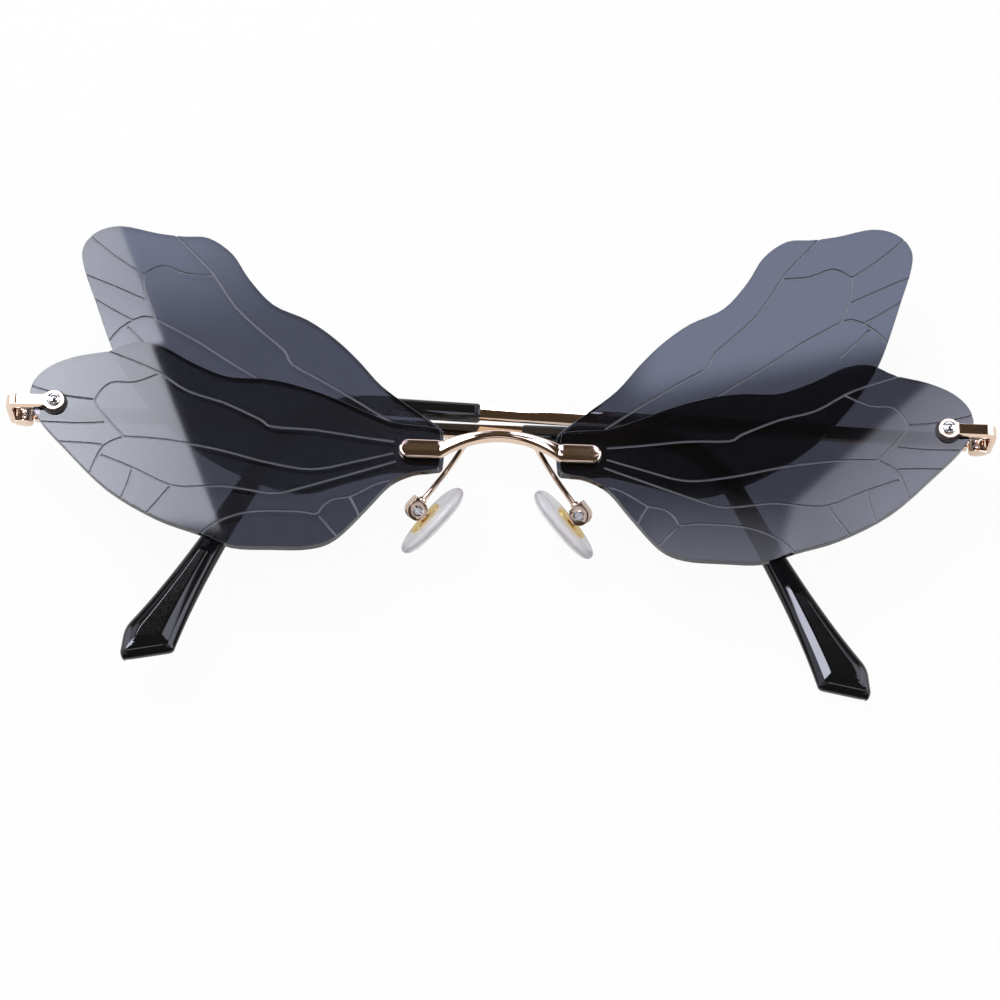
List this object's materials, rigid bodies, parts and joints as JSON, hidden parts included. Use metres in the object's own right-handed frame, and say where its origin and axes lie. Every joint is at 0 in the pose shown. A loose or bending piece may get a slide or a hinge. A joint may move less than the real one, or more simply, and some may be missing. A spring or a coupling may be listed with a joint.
{
  "type": "sunglasses",
  "caption": "Rimless sunglasses with overlapping dragonfly wing lenses in smoke tint, a gold bridge and hinged folding temples with black ear sleeves, shown folded.",
  "frame": {"origin": "middle of the folded glasses' bounding box in X and Y, at the level of its lowest point", "axes": "+X to the wearer's left across the glasses, +Y to the top of the wings, +Z out of the front of the lenses, the glasses lying on their folded temples"},
  "size_m": [0.1556, 0.0766, 0.016],
  "materials": {
    "smoke_lens": "polished tinted polycarbonate, veins engraved",
    "gold_metal": "polished pale gold plate",
    "black_sleeve": "polished black acetate",
    "black_washer": "matt",
    "clear_washer": "clear",
    "pad_insert": "polished",
    "clear_pad": "clear silicone"
  },
  "bodies": {
    "front": {"lower_wing_left": "smoke_lens", "lower_wing_right": "smoke_lens", "upper_wing_left": "smoke_lens", "upper_wing_right": "smoke_lens", "bridge": "gold_metal", "bridge_washer_left": "clear_washer", "bridge_washer_right": "clear_washer", "bridge_nut_left_inner": "gold_metal", "bridge_nut_left_outer": "gold_metal", "bridge_nut_right_inner": "gold_metal", "bridge_nut_right_outer": "gold_metal", "endpiece_left": "gold_metal", "endpiece_right": "gold_metal", "temple_washer_left": "black_washer", "temple_washer_right": "black_washer", "temple_screw_left": "gold_metal", "temple_screw_right": "gold_metal", "temple_nut_left": "gold_metal", "temple_nut_right": "gold_metal", "hinge_screw_left": "gold_metal", "hinge_screw_right": "gold_metal", "pad_arm_left": "gold_metal", "pad_arm_right": "gold_metal", "pad_box_left": "gold_metal", "pad_box_right": "gold_metal", "pad_screw_left": "gold_metal", "pad_screw_right": "gold_metal"},
    "temple_left": {"temple_left": "gold_metal", "temple_tip_left": "black_sleeve"},
    "temple_right": {"temple_right": "gold_metal", "temple_tip_right": "black_sleeve"},
    "pad_left": {"pad_core_left": "pad_insert", "nose_pad_left": "clear_pad"},
    "pad_right": {"pad_core_right": "pad_insert", "nose_pad_right": "clear_pad"}
  },
  "joints": [
    {"name": "temple_left_hinge", "type": "hinge", "parent": "front", "child": "temple_left", "pos_m": [0.0754, 0.00257, 0.00844], "axis": [0, -1, 0], "range_deg": [0, 92]},
    {"name": "temple_right_hinge", "type": "hinge", "parent": "front", "child": "temple_right", "pos_m": [-0.0754, 0.00257, 0.00844], "axis": [0, 1, 0], "range_deg": [0, 89]},
    {"name": "pad_left_rock", "type": "hinge", "parent": "front", "child": "pad_left", "pos_m": [0.01294, -0.01132, 0.00767], "axis": [-0.2662, -0.4964, 0.8263], "range_deg": [-8, 8]},
    {"name": "pad_right_rock", "type": "hinge", "parent": "front", "child": "pad_right", "pos_m": [-0.01294, -0.01132, 0.00767], "axis": [0.2662, -0.4964, 0.8263], "range_deg": [-8, 8]}
  ]
}
